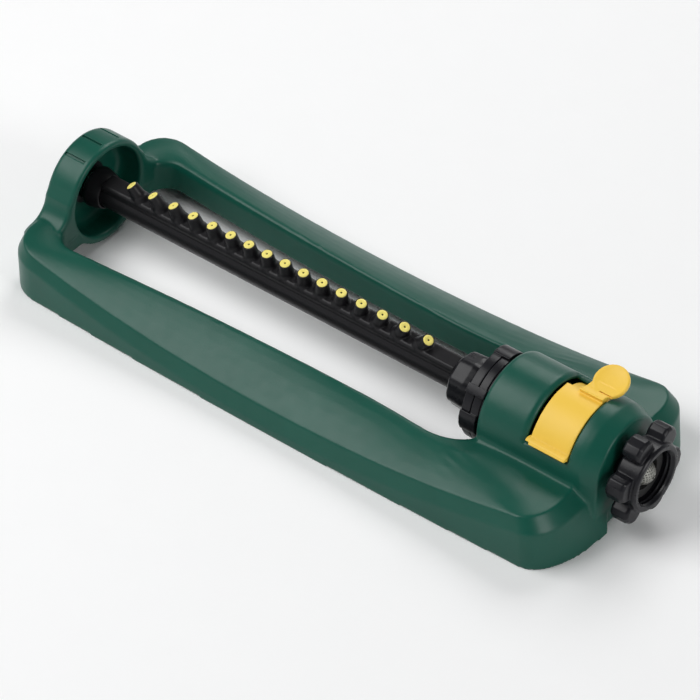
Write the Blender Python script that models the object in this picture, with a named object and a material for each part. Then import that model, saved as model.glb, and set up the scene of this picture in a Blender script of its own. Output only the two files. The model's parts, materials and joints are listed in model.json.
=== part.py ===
"""Oscillating lawn sprinkler: moulded rail frame, swinging spray tube, water motor, flow slider and hose nut.
Lengths are in millimetres; X runs along the spray axis toward the hose inlet, Z is up, the floor is z = 0."""

import math

import bmesh
import bpy
from mathutils import Matrix, Vector

MM = 0.001
AXIS_Z = 30.0                      # height of the spray axis
ON_AXIS = (0.0, 0.0, AXIS_Z)

# ---- frame outline --------------------------------------------------------
X_LEFT, X_RIGHT = -175.0, 161.0    # frame ends at the floor
HALF_W, BOW = 60.2, 3.0            # half width at the corners, outward bow at mid length
X_MID = -7.0
CORNER_L, BAND = 19.6, 3.2         # corner radius at the hood end, run of the sloping band on the rails
HOLE_L, HOLE_R = -157.5, 91.2      # ends of the gap between the rails
SHELL = 2.6

# ---- hood, barrel and motor -----------------------------------------------
HOOD_R, HOOD_BORE = 28.0, 24.2
BARREL_R, BARREL_BORE = 27.0, 24.2
BARREL_X0, BARREL_X1 = 91.3, 158.0
CAVITY_X0, CAVITY_X1 = 94.3, 154.5
SLOT_X0, SLOT_X1 = 118.6, 142.5
SLOT_A0, SLOT_A1 = 51.0, 161.5     # slot ends, degrees from +Y toward +Z
CASE_R, CASE_BORE = 20.8, 19.3

# ---- gears ----------------------------------------------------------------
MODULE, BIG, SMALL = 0.58, 27, 9
PRESSURE = math.radians(25.0)
LAY_R = MODULE * (BIG + SMALL) / 2.0
BACKLASH = 0.12
PLANES = (101.0, 104.8, 108.6, 112.4)
GEAR_W = 3.0
AXLE_R, BORE_R = 1.0, 1.2

# ---- spray tube -----------------------------------------------------------
TUBE_X0, TUBE_X1 = -161.0, 79.6
TUBE_R, TUBE_BORE = 7.6, 5.6
NOZZLES = 16
TUBE_TURN = math.radians(11.0)     # top of the tube leans toward -Y in the set position
PEG_TOP, PEG_FOOT = 17.2, 8.0

# ---- range rings and trip lever -------------------------------------------
RING_A, RING_B = 86.0, 166.0       # finger edges that meet the lever, degrees from +Y toward +Z
RING_R, FINGER_R = 23.2, 24.9
FINGER_SPAN = 28.0                 # degrees; each finger starts at its ring's direction
LEVER_A, LEVER_HALF = 138.0, 5.0

GREEN = (0.006, 0.082, 0.055)
BLACK = (0.012, 0.012, 0.014)
YELLOW = (0.90, 0.60, 0.09)
PALE = (0.86, 0.72, 0.16)
WHITE = (0.72, 0.72, 0.70)
STEEL = (0.55, 0.55, 0.56)
GREY = (0.35, 0.35, 0.33)
RUBBER = (0.02, 0.02, 0.02)

for old in list(bpy.data.objects):
    bpy.data.objects.remove(old)

parts = bpy.data.collections.new("oscillating_sprinkler")
tools = bpy.data.collections.new("cutters")
bpy.context.scene.collection.children.link(parts)
bpy.context.scene.collection.children.link(tools)


def material(name, colour, rough=0.35, metal=0.0):
    mat = bpy.data.materials.new(name)
    mat.use_nodes = True
    shader = mat.node_tree.nodes["Principled BSDF"]
    shader.inputs["Base Color"].default_value = (*colour, 1.0)
    shader.inputs["Roughness"].default_value = rough
    shader.inputs["Metallic"].default_value = metal
    return mat


def solid(name, verts, faces, origin=(0.0, 0.0, 0.0), colour=None, rough=0.35, metal=0.0):
    """One mesh object from millimetre points; a coloured one is a part, an uncoloured one a cutter."""
    mesh = bpy.data.meshes.new(name)
    o = Vector(origin)
    mesh.from_pydata([(Vector(v) - o) * MM for v in verts], [], faces)
    bm = bmesh.new()
    bm.from_mesh(mesh)
    bmesh.ops.remove_doubles(bm, verts=bm.verts, dist=1e-7)
    bmesh.ops.recalc_face_normals(bm, faces=bm.faces)
    bm.to_mesh(mesh)
    bm.free()
    mesh.shade_smooth()
    mesh.set_sharp_from_angle(angle=math.radians(32.0))
    obj = bpy.data.objects.new(name, mesh)
    obj.location = o * MM
    if colour is None:
        tools.objects.link(obj)
        obj.hide_render = True
        obj.display_type = "WIRE"
    else:
        parts.objects.link(obj)
        mesh.materials.append(material(name, colour, rough, metal))
    return obj


def combine(target, operand, operation):
    mod = target.modifiers.new(operand.name, "BOOLEAN")
    mod.operation = operation
    mod.solver = "EXACT"
    mod.object = operand
    return target


def cut(target, *operands):
    for operand in operands:
        combine(target, operand, "DIFFERENCE")


def add(target, *operands):
    for operand in operands:
        combine(target, operand, "UNION")


def loft(rings, closed=False):
    """Skin over equal-length rings of points; capped at both ends unless the rings close on themselves."""
    n, m = len(rings[0]), len(rings)
    verts = [p for ring in rings for p in ring]
    faces = []
    for i in range(m if closed else m - 1):
        a, b = i * n, ((i + 1) % m) * n
        faces += [(a + j, a + (j + 1) % n, b + (j + 1) % n, b + j) for j in range(n)]
    if not closed:
        faces += [tuple(range(n)), tuple(range((m - 1) * n, m * n))]
    return verts, faces


def lists(bm):
    """Vertex and face lists of a finished bmesh."""
    bm.verts.index_update()
    shape = [tuple(v.co) for v in bm.verts], [tuple(v.index for v in f.verts) for f in bm.faces]
    bm.free()
    return shape


def spun(profile, segs, centre, axis, side, closed=True):
    """(height, radius) profile spun once about an axis; an open profile starts and ends on the axis."""
    bm = bmesh.new()
    verts = [bm.verts.new(centre + axis * h + side * r) for h, r in profile]
    edges = [bm.edges.new((verts[i - 1], verts[i])) for i in range(0 if closed else 1, len(verts))]
    bmesh.ops.spin(bm, geom=verts + edges, cent=centre, axis=axis, angle=2.0 * math.pi, steps=segs,
                   use_merge=True)
    return lists(bm)


def lathe(profile, segs, closed=True):
    """(x, r) profile turned about the spray axis."""
    return spun(profile, segs, Vector(ON_AXIS), Vector((1.0, 0.0, 0.0)), Vector((0.0, 1.0, 0.0)), closed)


def cylinder(r0, r1, depth, segs, matrix):
    bm = bmesh.new()
    bmesh.ops.create_cone(bm, cap_ends=True, segments=segs, radius1=r0, radius2=r1, depth=depth,
                          matrix=matrix)
    return lists(bm)


def rod(x0, x1, r, segs=16, centre=(0.0, AXIS_Z), turn=0.0):
    """Plain cylinder along X."""
    place = Matrix.Translation((0.5 * (x0 + x1), *centre)) @ Matrix.Rotation(turn, 4, "X")
    return cylinder(r, r, x1 - x0, segs, place @ Matrix.Rotation(math.pi / 2, 4, "Y"))


def post(z0, z1, r, x, y, segs=12):
    """Plain cylinder along Z."""
    return cylinder(r, r, z1 - z0, segs, Matrix.Translation((x, y, 0.5 * (z0 + z1))))


def box(x0, x1, y0, y1, z0, z1):
    bm = bmesh.new()
    place = Matrix.Translation((0.5 * (x0 + x1), 0.5 * (y0 + y1), 0.5 * (z0 + z1)))
    bmesh.ops.create_cube(bm, size=1.0, matrix=place @ Matrix.Diagonal((x1 - x0, y1 - y0, z1 - z0, 1.0)))
    return lists(bm)


def prism(points, x0, x1):
    """(y, z) outline filled with one face and extruded along X."""
    bm = bmesh.new()
    outline = bm.faces.new([bm.verts.new((x0, y, z)) for y, z in points])
    pushed = bmesh.ops.extrude_face_region(bm, geom=[outline])["geom"]
    far = [part for part in pushed if isinstance(part, bmesh.types.BMVert)]
    bmesh.ops.translate(bm, vec=(x1 - x0, 0.0, 0.0), verts=far)
    return lists(bm)


def polar(r, degrees, centre=(0.0, AXIS_Z)):
    a = math.radians(degrees)
    return centre[0] + r * math.cos(a), centre[1] + r * math.sin(a)


def sector(r0, r1, a0, a1, x0, x1, steps):
    """Block between two radii and two directions about the spray axis."""
    angles = [a0 + (a1 - a0) * k / steps for k in range(steps + 1)]
    outline = [polar(r1, a) for a in angles] + [polar(r0, a) for a in reversed(angles)]
    return prism(outline, x0, x1)


def merged(*shapes):
    """Several separate closed shapes as one vertex and face list."""
    verts, faces = [], []
    for v, f in shapes:
        base = len(verts)
        verts += v
        faces += [tuple(i + base for i in face) for face in f]
    return verts, faces


# ---------------------------------------------------------------------------
# Frame: two rails and two end pieces as one thin-walled channel, open below
# ---------------------------------------------------------------------------
def ramp(value, low, high):
    return max(0.0, min(1.0, (value - low) / (high - low)))


def outer_y(x):
    return HALF_W + BOW * (1.0 - ((x - X_MID) / 150.0) ** 2)


def crease_z(x):
    t = abs(x + 10.0) / 155.0
    return 13.0 + 12.4 * t ** 2 + 2.2 * t ** 4 - 149.0 * max(0.0, t - 0.955) ** 2


def skirt_z(x):
    t = abs(x + 10.0) / 155.0
    return 4.3 + 17.3 * t ** 2 - 108.0 * max(0.0, t - 0.9) ** 2


def inner_y(x):
    return 32.2 + 8.5 * ramp(x, 80.0, -145.0) ** 2.3 + 2.6 * ramp(x, 30.0, 78.0) ** 1.5


def inner_z(x):
    return 24.6 + 0.01 * (80.0 - x) + 3.0 * ramp(x, 60.0, 91.0) ** 1.5


def arc(cx, cy, rx, ry, a0, a1, steps):
    return [(cx + rx * math.cos(math.radians(a0 + (a1 - a0) * k / steps)),
             cy + ry * math.sin(math.radians(a0 + (a1 - a0) * k / steps))) for k in range(steps + 1)]


def half_path(bound, x_start, x_stop, left_r, rx, ry):
    """Front half (y <= 0) of an outline, from the left end centre round to the right end centre."""
    side, corner, head_steps, tail_steps = 24, 7, 6, 2
    x0, x1 = x_start + left_r, x_stop - rx
    left = arc(x0, -bound(x0) + left_r, left_r, left_r, 180, 270, corner)
    right = arc(x1, -bound(x1) + ry, rx, ry, 270, 360, corner)
    middle = [(x, -bound(x)) for x in (x0 + (x1 - x0) * k / side for k in range(1, side))]
    head = [(left[0][0], left[0][1] * k / head_steps) for k in range(0, head_steps)]
    tail = [(right[-1][0], right[-1][1] * k / tail_steps) for k in range(tail_steps - 1, -1, -1)]
    return head + left + middle + right + tail


def full_path(*shape):
    front = half_path(*shape)
    return [Vector(p) for p in front + [(x, -y) for x, y in reversed(front[1:-1])]]


def frame_rings():
    """Wall sections round the frame: foot, skirt edge, crease, crown, lip, inner wall, then back inside."""
    outer = full_path(outer_y, X_LEFT, X_RIGHT, CORNER_L, 19.0, 36.7)
    skirts = full_path(outer_y, X_LEFT, X_RIGHT - 6.1, CORNER_L, 14.0, 22.0)
    creases = full_path(lambda x: outer_y(x) - BAND, X_LEFT + BAND, X_RIGHT - 12.8, CORNER_L - BAND,
                        12.0, 17.0)
    inner = full_path(inner_y, HOLE_L, HOLE_R, 11.0, 22.0, 11.3)
    rings = []
    for i, (o, skirt, crease, n) in enumerate(zip(outer, skirts, creases, inner)):
        run = outer[(i + 1) % len(outer)] - outer[i - 1]
        normal = Vector((run.y, -run.x)).normalized()
        if normal.dot(o - n) < 0:
            normal.negate()
        back = (n - o).normalized()
        zl, zu, zi = skirt_z(o.x), crease_z(o.x), inner_z(n.x)
        foot = 0.8 + 8.5 * (1.0 - ramp(n.x, 76.0, HOLE_R - 1.0))
        if n.x < HOLE_L + 0.1:                   # under the hood the wall's foot follows the opening
            foot = min(foot, AXIS_Z - math.sqrt(max(0.0, (HOOD_R + 0.5) ** 2 - n.y ** 2)))
        lip, round_1 = n - back * 3.2, n - back * 0.9
        deep = min(0.45 * (n - o).length, 5.0)
        mid = crease.lerp(lip, 0.5)
        points = [
            (o, 0.0), (skirt, zl), (crease, zu), (mid, 0.5 * (zu + zi) + 0.9), (lip, zi), (round_1, zi - 0.9),
            (n, zi - 3.4), (n, foot),
            (n - back * SHELL, foot), (n - back * SHELL, zi - 3.9), (lip - back * 1.3, zi - SHELL),
            (mid, 0.5 * (zu + zi) + 0.9 - SHELL), (crease - normal * deep * 0.35, zu - SHELL),
            (skirt - normal * SHELL, min(zl, zu - SHELL) - 1.2), (o - normal * SHELL, 0.0),
        ]
        rings.append([(p.x, p.y, z) for p, z in points])
    return rings


base = solid("base_frame", *loft(frame_rings(), closed=True), colour=GREEN, rough=0.32)


def bell(x, r, rise):
    """(y, z) section of the hood: a circle with concave flares down to the frame top."""
    fillet = 13.0
    cy = r + fillet
    pts = [(cy + 4.0, 18.0), (cy + 4.0, rise - 1.5), (cy + 0.5, rise - 0.1)]
    pts += [(cy - fillet * math.sin(math.radians(a)), rise + fillet - fillet * math.cos(math.radians(a)))
            for a in (12, 30, 48, 66, 84)]
    start = math.degrees(math.asin((rise + fillet + 1.0 - AXIS_Z) / r))
    steps = 9
    pts += [polar(r, start + (90.0 - start) * k / steps) for k in range(1, steps)]
    low = [polar(r, -90.0 + 64.0 * k / 5) for k in range(1, 6)]
    right = low + [(r + 2.0, 17.0)] + pts
    left = [(-y, z) for y, z in reversed(right)]
    return [(x, y, z) for y, z in [polar(r, -90.0)] + right + [polar(r, 90.0)] + left]


hood_sections = [(-174.9, 26.2, 25.0), (-174.3, 27.3, 25.9), (-172.8, 28.0, 26.4), (-168.0, HOOD_R, 26.6),
                 (-158.7, HOOD_R, 26.6), (-157.6, HOOD_R - 0.5, 26.2), (-156.9, HOOD_R - 1.7, 25.2)]
hood = solid("tool_hood", *loft([bell(x, r, rise) for x, r, rise in hood_sections]))
add(base, hood)


def arch(x, r, foot):
    """Barrel section: half circle above the axis, straight legs down to the foot height."""
    top = [polar(r, 180.0 * k / 26) for k in range(27)]
    return [(x, r, foot)] + [(x, y, z) for y, z in top] + [(x, -r, foot)]


barrel_sections = [(BARREL_X0, 25.4), (92.0, 26.5), (93.4, BARREL_R), (146.0, BARREL_R), (150.0, 26.5),
                   (BARREL_X1, 23.3)]
barrel = solid("tool_barrel", *loft([arch(x, r, 1.0) for x, r in barrel_sections]))
boss = solid("tool_boss", *rod(88.6, 93.0, 15.5, 32))
fillets = []
for side in (1, -1):
    outline = [(side * (BARREL_R - 1.0), 24.0), (side * (BARREL_R + 4.2), 24.0)]
    outline += [(side * (BARREL_R + 4.2 - 4.2 * math.sin(math.radians(a))),
                 31.0 - 4.2 * math.cos(math.radians(a)) + 0.4) for a in (0, 30, 60, 85)]
    outline += [(side * (BARREL_R - 1.0), 31.4)]
    fillets.append(prism(outline, 94.0, 147.5))
add(base, barrel, boss, solid("tool_fillets", *merged(*fillets)))

hood_bore = [(-172.2, 0.0), (-172.2, HOOD_BORE - 3.0), (-171.0, HOOD_BORE - 0.9), (-168.5, HOOD_BORE),
             (-158.2, HOOD_BORE), (-156.5, HOOD_BORE + 1.0), (-156.5, 0.0)]
cut(base, solid("tool_hood_bore", *lathe(hood_bore, 36, closed=False)))
cavity = solid("tool_cavity", *loft([arch(x, BARREL_BORE, -5.0) for x in (CAVITY_X0, CAVITY_X1)]))
cut(base, cavity)
seats = [(x, y) for x in (99.5, 149.0) for y in (-21.4, 21.4)]
add(base, solid("tool_posts", *merged(*[post(4.0, 17.0, 3.3, x, y) for x, y in seats])))
cut(base, solid("tool_slot", *sector(18.0, 31.0, SLOT_A0, SLOT_A1, SLOT_X0, SLOT_X1, 20)))

bevel_section = ((116.2, 27.05), (119.4, 25.1), (119.4, 29.0), (116.2, 29.0))
bevel_rings = []
for k in range(21):
    a = SLOT_A0 - 1.5 + (SLOT_A1 - SLOT_A0 + 3.0) * k / 20
    bevel_rings.append([(x, *polar(r, a)) for x, r in bevel_section])
cut(base, solid("tool_slot_bevel", *loft(bevel_rings)))
cut(base, solid("tool_bores", *merged(
    rod(80.0, 99.0, 14.0, 32), rod(150.0, 170.0, 9.0, 24), box(90.0, 96.0, -4.0, 4.0, 10.9, 14.2))))
notch = [(158.1, -13.5), (163.0, -18.5), (163.0, 18.5), (158.1, 13.5)]
cut(base, solid("tool_notch", *loft([[(x, y, z) for x, y in notch] for z in (-1.0, 34.0)])))
cut(base, solid("tool_pilots", *merged(*[post(2.0, 14.0, 1.2, x, y, 8) for x, y in seats])))
cut(base, solid("tool_grooves", *merged(
    *[sector(27.4, 31.0, a - 1.8, a + 1.8, -173.2, -160.5, 1) for a in (63.0, 90.0, 117.0)])))

# ---------------------------------------------------------------------------
# Motor cover and screws under the barrel
# ---------------------------------------------------------------------------
cover = solid("bottom_cover", *box(94.9, 153.9, -23.8, 23.8, 1.0, 3.6), colour=BLACK, rough=0.5)
cut(cover, solid("tool_cover_holes", *merged(*[post(0.0, 5.0, 1.3, x, y, 10) for x, y in seats])))
cut(cover, solid("tool_cover_sinks", *merged(*[post(0.0, 2.6, 2.1, x, y, 12) for x, y in seats])))
screw_profile = [(1.25, 0.0), (1.25, 1.9), (2.4, 1.9), (2.4, 1.0), (11.0, 1.0), (12.6, 0.3), (12.6, 0.0)]
for i, (x, y) in enumerate(seats, 1):
    screw = spun(screw_profile, 10, Vector((x, y, 0.0)), Vector((0.0, 0.0, 1.0)), Vector((1.0, 0.0, 0.0)),
                 closed=False)
    driven = solid(f"cover_screw_{i}", *screw, colour=STEEL, rough=0.3, metal=1.0)
    cut(driven, solid(f"tool_drive_{i}", *box(x - 1.2, x + 1.2, y - 0.3, y + 0.3, 0.8, 1.9)))

# ---------------------------------------------------------------------------
# Spray tube with its nozzles, and the pieces that turn with it
# ---------------------------------------------------------------------------
def leaned(shape):
    """Shape turned about the spray axis into the tube's set position."""
    c, s = math.cos(TUBE_TURN), math.sin(TUBE_TURN)
    verts, faces = shape
    return [(x, y * c - (z - AXIS_Z) * s, y * s + (z - AXIS_Z) * c + AXIS_Z) for x, y, z in verts], faces


def peg_frame(index):
    """Foot point and direction of a nozzle with the tube upright: a fan, steepest at the tube's ends."""
    u = (2.0 * index - (NOZZLES - 1)) / (NOZZLES - 1)
    tilt = math.radians(18.0 * u + 18.0 * u ** 3)
    tip_x = -46.7 + 84.3 * u + 7.9 * u ** 3
    foot = Vector((tip_x - PEG_REACH * math.sin(tilt), 0.0, AXIS_Z + PEG_FOOT))
    return foot, Vector((math.sin(tilt), 0.0, math.cos(tilt)))


def peg_spun(index, profile, closed=False):
    """(height, radius) profile turned about a nozzle's own axis."""
    foot, up = peg_frame(index)
    return spun(profile, 10, foot, up, Vector((0.0, 1.0, 0.0)), closed)


PEG_REACH = PEG_TOP - PEG_FOOT
tube = solid("spray_tube", *leaned(rod(TUBE_X0, TUBE_X1, TUBE_R, 20, turn=math.radians(9.0))),
             origin=ON_AXIS, colour=BLACK, rough=0.35)
spine = [(-5.0, AXIS_Z + 4.0), (-5.0, AXIS_Z + 8.2), (-4.0, AXIS_Z + 10.0), (4.0, AXIS_Z + 10.0),
         (5.0, AXIS_Z + 8.2), (5.0, AXIS_Z + 4.0)]
add(tube, solid("tool_spine", *leaned(prism(spine, -156.0, 62.6))))
peg = [(-1.5, 0.0), (-1.5, 4.2), (3.0, 3.6), (PEG_REACH, 3.15), (PEG_REACH, 0.0)]
add(tube, solid("tool_pegs", *leaned(merged(*[peg_spun(i, peg) for i in range(NOZZLES)]))))
tube_bore = rod(TUBE_X0 - 2.0, TUBE_X1 + 2.0, TUBE_BORE, 12, turn=math.radians(15.0))
cut(tube, solid("tool_tube_bore", *leaned(tube_bore)))
pocket = [(-4.5, 0.0), (-4.5, 1.0), (PEG_REACH - 2.2, 1.0), (PEG_REACH - 2.2, 2.7), (PEG_REACH + 1.0, 2.7),
          (PEG_REACH + 1.0, 0.0)]
cut(tube, solid("tool_pockets", *leaned(merged(*[peg_spun(i, pocket) for i in range(NOZZLES)]))))
insert = [(PEG_REACH - 2.1, 0.5), (PEG_REACH - 2.1, 2.6), (PEG_REACH + 0.3, 2.6), (PEG_REACH + 0.6, 0.5)]
for i in range(NOZZLES):
    solid(f"nozzle_tip_{i + 1:02d}", *leaned(peg_spun(i, insert, closed=True)), ON_AXIS, PALE, 0.4)

end_cap = [(-171.2, 0.0), (-171.2, 4.5), (-170.7, 5.0), (-165.6, 5.0), (-165.6, 10.0), (-164.8, 10.8),
           (-163.0, 10.8), (-156.5, 8.9), (-156.5, 7.9), (-161.3, 7.9), (-161.3, 5.3), (-154.0, 5.3),
           (-154.0, 0.0)]
solid("tube_end_cap", *lathe(end_cap, 20, closed=False), ON_AXIS, BLACK, 0.4)
washer = [(-166.9, 5.3), (-166.9, 8.4), (-165.9, 8.4), (-165.9, 5.3)]
solid("thrust_washer", *lathe(washer, 18), colour=WHITE, rough=0.5)
bush = [(-172.0, 5.25), (-172.0, 11.5), (-170.6, 11.5), (-170.2, 8.8), (-167.2, 8.4), (-167.2, 5.25)]
solid("hood_bush", *lathe(bush, 20), colour=BLACK, rough=0.45)

facets = []
for x, r in ((62.9, 11.6), (64.2, 13.4), (72.4, 13.8), (76.6, 12.4)):
    facets.append([(x, *polar(r * (1.05 if k % 2 else 1.0), 22.5 * k + 11.0)) for k in range(16)])
collar = solid("tube_collar", *loft(facets), origin=ON_AXIS, colour=BLACK, rough=0.35)
cut(collar, solid("tool_collar_bore", *rod(60.0, 80.0, 7.9, 20)),
    solid("tool_collar_slot", *leaned(box(60.0, 64.6, -5.6, 5.6, AXIS_Z, AXIS_Z + 10.6))))

hub = [(76.9, 7.9), (76.9, 16.0), (77.6, 17.0), (79.2, 17.0), (79.6, 16.2), (88.2, 16.2), (88.2, 13.6),
       (98.2, 13.6), (98.2, 11.8), (80.0, 11.8), (80.0, 7.9)]
solid("drive_hub", *lathe(hub, 28), origin=ON_AXIS, colour=BLACK, rough=0.35)


def range_ring(name, x0, x1, edge, away):
    """Wide collar with one raised finger over both rings, reaching away from the trip lever's side."""
    turns = [edge + away * FINGER_SPAN * k / 6 for k in range(7)]
    inset = [turns[0] + away * 0.6, *turns[1:-1], turns[-1] - away * 0.6]
    root = [polar(FINGER_R - 0.8, a) for a in inset] + [polar(21.0, turns[-1]), polar(21.0, turns[0])]
    finger = [polar(r, a) for r, a in zip((24.6, *[FINGER_R] * 5, 24.0), turns)]
    finger += [polar(RING_R + 0.3, a) for a in reversed(turns)]
    ring = solid(name, *rod(x0, x1, RING_R, 40), ON_AXIS, BLACK, 0.35)
    add(ring, solid(f"tool_{name}_root", *prism(root, x0 + 0.1, x1 - 0.1)),
        solid(f"tool_{name}_finger", *prism(finger, 79.9, 89.3)))
    cut(ring, solid(f"tool_{name}_bore", *rod(78.0, 92.0, 16.5, 24)))


range_ring("range_ring_a", 80.0, 84.7, RING_A, -1.0)
range_ring("range_ring_b", 85.0, 89.4, RING_B, 1.0)

core = solid("drive_spider", *lathe(((93.2, 10.0), (93.2, 11.6), (96.2, 11.6), (96.2, 10.0)), 24),
             origin=ON_AXIS, colour=WHITE, rough=0.4)
spoke = ((3.0, -28.0), (10.8, -7.0), (10.8, 7.0), (3.0, 28.0))
spokes = [prism([polar(r, a + s) for r, s in spoke], 93.4, 96.0) for a in (90.0, 210.0, 330.0)]
add(core, solid("tool_core", *rod(93.0, 104.2, 3.5, 16)), solid("tool_spokes", *merged(*spokes)))
cut(core, solid("tool_core_bore", *rod(96.8, 106.0, BORE_R, 10)))


# ---------------------------------------------------------------------------
# Water motor: gear train, turbine, plates, diverter and case
# ---------------------------------------------------------------------------
def involute(x):
    return math.tan(x) - x


def gear_outline(teeth, phase, centre):
    """Tooth outline: root and tip corners taken on the involute of the given module and pressure angle."""
    r = MODULE * teeth / 2.0
    rb, tip, root = r * math.cos(PRESSURE), r + 0.8 * MODULE, r - 1.05 * MODULE
    half = math.pi / (2.0 * teeth) - BACKLASH / (2.0 * r) + involute(PRESSURE)
    at_tip = math.degrees(half - involute(math.acos(rb / tip)))
    at_root = math.degrees(half - involute(math.acos(min(1.0, rb / max(rb, root)))))
    points = []
    for k in range(teeth):
        a = phase + 360.0 * k / teeth
        points += [polar(r, a + s, centre) for r, s in ((root, -at_root), (tip, -at_tip), (tip, at_tip),
                                                        (root, at_root))]
    return points


MESH_UP, MESH_DOWN = 90.0, 270.0
CENTRE, LAY = (0.0, AXIS_Z), (0.0, AXIS_Z + LAY_R)
phase_out = MESH_UP
phase_lay_small = MESH_DOWN + 180.0 / SMALL
phase_lay_big = MESH_DOWN + 180.0 / BIG

out_gear = solid("output_gear", *prism(gear_outline(BIG, phase_out, CENTRE), PLANES[0], PLANES[0] + GEAR_W),
                 origin=ON_AXIS, colour=WHITE, rough=0.4)
cut(out_gear, solid("tool_out_bore", *rod(100.0, 106.0, 3.55, 16)))


def compound(name, centre, small_x0, big_x0, small_phase, big_phase):
    small = prism(gear_outline(SMALL, small_phase, centre), small_x0, big_x0 + 0.5)
    big = prism(gear_outline(BIG, big_phase, centre), big_x0, big_x0 + GEAR_W)
    gear = solid(name, *big, origin=(0.0, centre[0], centre[1]), colour=WHITE, rough=0.4)
    add(gear, solid(f"tool_{name}_pinion", *small))
    cut(gear, solid(f"tool_{name}_bore", *rod(small_x0 - 1.0, big_x0 + GEAR_W + 1.0, BORE_R, 10, centre)))


compound("lay_gear_slow", LAY, PLANES[0], PLANES[1], phase_lay_small, phase_lay_big)
compound("centre_gear", CENTRE, PLANES[1], PLANES[2], MESH_UP, MESH_UP)
compound("lay_gear_fast", LAY, PLANES[2], PLANES[3], phase_lay_small, phase_lay_big)

turbine = solid("turbine", *rod(119.6, 133.0, 4.2, 16), origin=ON_AXIS, colour=WHITE, rough=0.4)
blade = ((3.4, -9.0), (14.0, 6.6), (14.0, 11.4), (3.4, 9.0))
blades = [prism([polar(r, a + s) for r, s in blade], 120.4, 132.4) for a in (30, 90, 150, 210, 270, 330)]
add(turbine, solid("tool_blades", *merged(*blades)),
    solid("tool_turbine_pinion", *prism(gear_outline(SMALL, MESH_UP, CENTRE), PLANES[3], 120.0)))
cut(turbine, solid("tool_turbine_bore", *rod(110.0, 135.0, BORE_R, 10)))

solid("centre_axle", *rod(97.4, 139.8, AXLE_R, 10), colour=STEEL, rough=0.25, metal=1.0)
solid("lay_axle", *rod(98.9, 117.6, AXLE_R, 10, LAY), colour=STEEL, rough=0.25, metal=1.0)

FLOW_A = (20.0, 160.0, 205.0, 335.0)
for name, x0, x1, hole, lay in (("plate_left", 98.8, 100.2, 4.0, True),
                                ("plate_right", 116.4, 118.2, 3.5, True),
                                ("jet_plate", 138.4, 140.4, 1.05, False)):
    plate = solid(name, *rod(x0, x1, 19.0, 32), colour=WHITE, rough=0.45)
    openings = [rod(x0 - 1, x1 + 1, hole, 14)]
    if lay:
        openings += [rod(x0 - 1, x1 + 1, AXLE_R + 0.05, 10, LAY), box(x0 - 1, x1 + 1, -4.0, 4.0, 9.0, 14.4)]
        openings += [rod(x0 - 1, x1 + 1, 2.6, 10, polar(13.5, a)) for a in FLOW_A]
    else:
        openings += [rod(x0 - 1, x1 + 1, 1.6, 10, polar(13.2, a)) for a in (257.0, 283.0)]
    cut(plate, solid(f"tool_{name}", *merged(*openings)))

lever = solid("trip_lever", *lathe(((89.7, 15.8), (89.7, 23.2), (91.0, 23.2), (91.0, 15.8)), 40),
              origin=ON_AXIS, colour=BLACK, rough=0.35)
arm = sector(22.6, 25.6, LEVER_A - LEVER_HALF + 0.4, LEVER_A + LEVER_HALF - 0.4, 89.8, 90.9, 2)
finger = sector(RING_R + 0.4, 25.9, LEVER_A - LEVER_HALF, LEVER_A + LEVER_HALF, 80.4, 90.95, 2)
add(lever, solid("tool_lever_arm", *arm), solid("tool_lever_finger", *finger))
cut(lever, solid("tool_lever_hole", *rod(87.0, 92.0, 1.15, 10, (0.0, 12.6))))
diverter = solid("diverter", *rod(89.9, 137.2, 1.1, 10, (0.0, 12.6)), origin=ON_AXIS, colour=WHITE, rough=0.4)
flap = [(-2.0, 21.5), (2.0, 21.5), (3.3, 12.0), (-3.3, 12.0)]
add(diverter, solid("tool_flap", *prism(flap, 135.8, 137.4)))

case = [(94.7, CASE_BORE), (94.7, CASE_R), (150.2, CASE_R), (150.2, 7.8), (145.5, 7.8), (145.5, CASE_BORE)]
solid("motor_case", *lathe(case, 32), colour=BLACK, rough=0.4)

# ---------------------------------------------------------------------------
# Flow slider
# ---------------------------------------------------------------------------
PAD_TILT = math.radians(23.0)
slider = solid("flow_slider", *lathe(((120.8, 21.2), (120.8, 23.6), (141.4, 23.6), (141.4, 21.2)), 36),
               origin=ON_AXIS, colour=YELLOW, rough=0.45)
band = sector(23.0, 26.0, 80.0, 156.0, 120.4, 141.8, 15)
lip = [polar(r, a) for r, a in ((24.6, 152.5), (26.6, 153.6), (28.3, 155.4), (28.5, 157.6), (24.6, 157.6))]
ledge = [polar(r, a) for r, a in ((24.6, 157.2), (29.3, 157.4), (29.4, 159.3), (24.6, 159.8))]
pad_c, pad_r = Vector((138.9, 12.6, AXIS_Z + 30.4)), 8.8
along = Vector((0.0, math.cos(PAD_TILT), math.sin(PAD_TILT)))
normal = Vector((0.0, -math.sin(PAD_TILT), math.cos(PAD_TILT)))
pad_rings = []
for h, r in ((-1.3, pad_r - 0.5), (-0.9, pad_r), (0.8, pad_r), (1.2, pad_r - 0.7)):
    pad_rings.append([tuple(pad_c + normal * h + Vector((math.cos(2 * math.pi * k / 24), 0, 0)) * r
                            + along * r * math.sin(2 * math.pi * k / 24)) for k in range(24)])
root = pad_c - along * pad_r


def slab(*stations):
    """Loft up the pad's slope; each station is (distance, lower face, upper face, low x, high x)."""
    rings = []
    for s, under, over, x0, x1 in stations:
        c = root + along * s
        rings.append([tuple(Vector((x, c.y, c.z)) + normal * n)
                      for x, n in ((x0, under), (x1, under), (x1, over), (x0, over))])
    return loft(rings)


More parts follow.
